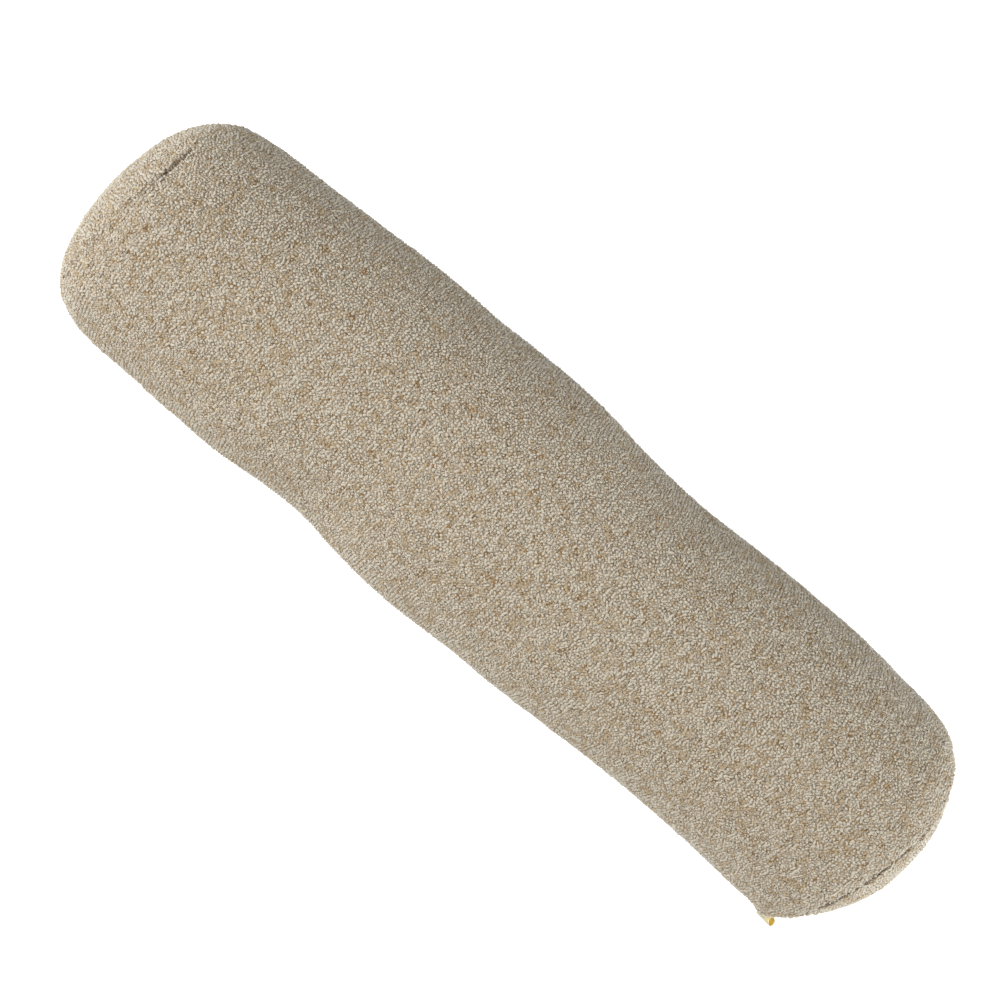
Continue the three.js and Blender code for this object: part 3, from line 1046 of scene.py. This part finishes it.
class BOLSTER_OT_studio(bpy.types.Operator):
    """Set up the floor, the soft lights and the camera over the bolster"""

    bl_idname = "bolster.set_studio"
    bl_label = "Set the studio"

    def execute(self, context):
        studio = context.scene.bolster_studio
        low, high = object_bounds()
        middle = (low + high) / 2
        corners = [(FLOOR_REACH * x, FLOOR_REACH * y, 0) for x, y in ((-1, -1), (1, -1), (1, 1), (-1, 1))]
        floor = new_piece("studio_floor", corners, [(0, 1, 2, 3)], smooth=False)
        floor.data.materials.append(floor_paper())
        floor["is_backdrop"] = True
        world = context.scene.world or bpy.data.worlds.new("room")
        context.scene.world = world
        world.use_nodes = True
        tree = world.node_tree
        seen = add_node(tree, "ShaderNodeLightPath").outputs["Is Camera Ray"]
        brightness = add_node(tree, "ShaderNodeMix", {0: seen, 2: studio.room, 3: 1.0}).outputs[0]
        set_inputs(tree, tree.nodes["Background"].inputs, {"Color": SKY, "Strength": brightness})
        aim = Vector((middle.x, middle.y, LIGHT_AIM))
        for name, place, size, setting, power, tint in SOFTBOXES:
            add_softbox(name, aim, Vector(place), size, power * getattr(studio, setting), tint)
        context.scene.camera = studio_camera(studio)
        context.scene.view_settings.view_transform = "Standard"
        return {"FINISHED"}


def floor_paper():
    """White studio paper."""
    material, tree, shader = new_material("studio_paper", 0.9, 0.0)
    place = add_node(tree, "ShaderNodeTexCoord").outputs["Object"]
    fine = add_node(tree, "ShaderNodeTexNoise", {"Vector": place, "Scale": 40.0}).outputs["Fac"]
    colour = blended(tree, graded(tree, fine, 0.2, 0.8), (0.9, 0.9, 0.9), (0.93, 0.93, 0.93))
    seen = add_node(tree, "ShaderNodeLightPath").outputs["Is Camera Ray"]
    glow = product(tree, seen, FLOOR_GLOW)
    set_inputs(tree, shader, {"Base Color": colour, "Emission Color": colour, "Emission Strength": glow})
    return material


def add_softbox(name, aim, offset, size, power, tint):
    """A large square light that looks at the bolster."""
    lamp = bpy.data.lights.new(name, "AREA")
    lamp.size, lamp.energy, lamp.color = size, power, tint
    light = new_object(name, lamp)
    light.location = aim + offset
    light.rotation_euler = (-offset).to_track_quat("-Z", "Y").to_euler()


def studio_camera(studio):
    """The camera over the bolster, which runs from the view's upper left to its lower right."""
    back = Vector((-math.sin(studio.tilt), 0, math.cos(studio.tilt)))
    along = Vector((math.cos(studio.tilt), 0, math.sin(studio.tilt)))
    across = back.cross(along)
    right = along * math.cos(studio.roll) + across * math.sin(studio.roll)
    up = back.cross(right)
    lens = bpy.data.cameras.new("studio_camera")
    lens.lens, lens.sensor_width = studio.lens, SENSOR
    camera = new_object("studio_camera", lens)
    place = Matrix((right, up, back)).transposed().to_4x4()
    place.translation = CAMERA_AIM + back * studio.distance
    camera.matrix_world = place
    return camera


class BOLSTER_PT_sidebar(bpy.types.Panel):
    bl_label = "Bolster"
    bl_idname = "BOLSTER_PT_sidebar"
    bl_space_type = "VIEW_3D"
    bl_region_type = "UI"
    bl_category = "Bolster"

    def draw(self, context):
        for operator in OPERATORS:
            self.layout.operator(operator.bl_idname)
        for name in GROUPS:
            box = self.layout.box()
            settings = getattr(context.scene, name)
            for key in settings.bl_rna.properties.keys():
                if key not in ("rna_type", "name"):
                    box.prop(settings, key)


GROUPS = {
    "bolster_cover": CoverSizes,
    "bolster_yarns": YarnColours,
    "bolster_loops": LoopSizes,
    "bolster_label": LabelSizes,
    "bolster_studio": StudioSettings,
}
OPERATORS = (BOLSTER_OT_cover, BOLSTER_OT_loops, BOLSTER_OT_label, BOLSTER_OT_studio)


def register():
    for group in GROUPS.values():
        bpy.utils.register_class(group)
    for name, group in GROUPS.items():
        setattr(bpy.types.Scene, name, PointerProperty(type=group))
    for kind in (*OPERATORS, BOLSTER_PT_sidebar):
        bpy.utils.register_class(kind)


def unregister():
    for kind in (BOLSTER_PT_sidebar, *reversed(OPERATORS)):
        bpy.utils.unregister_class(kind)
    for name in GROUPS:
        delattr(bpy.types.Scene, name)
    for group in reversed(list(GROUPS.values())):
        bpy.utils.unregister_class(group)


def main():
    register()
    bpy.ops.bolster.sew_cover()
    bpy.ops.bolster.loop_yarn()
    bpy.ops.bolster.fold_label()
    bpy.ops.bolster.set_studio()


if __name__ == "__main__":
    main()
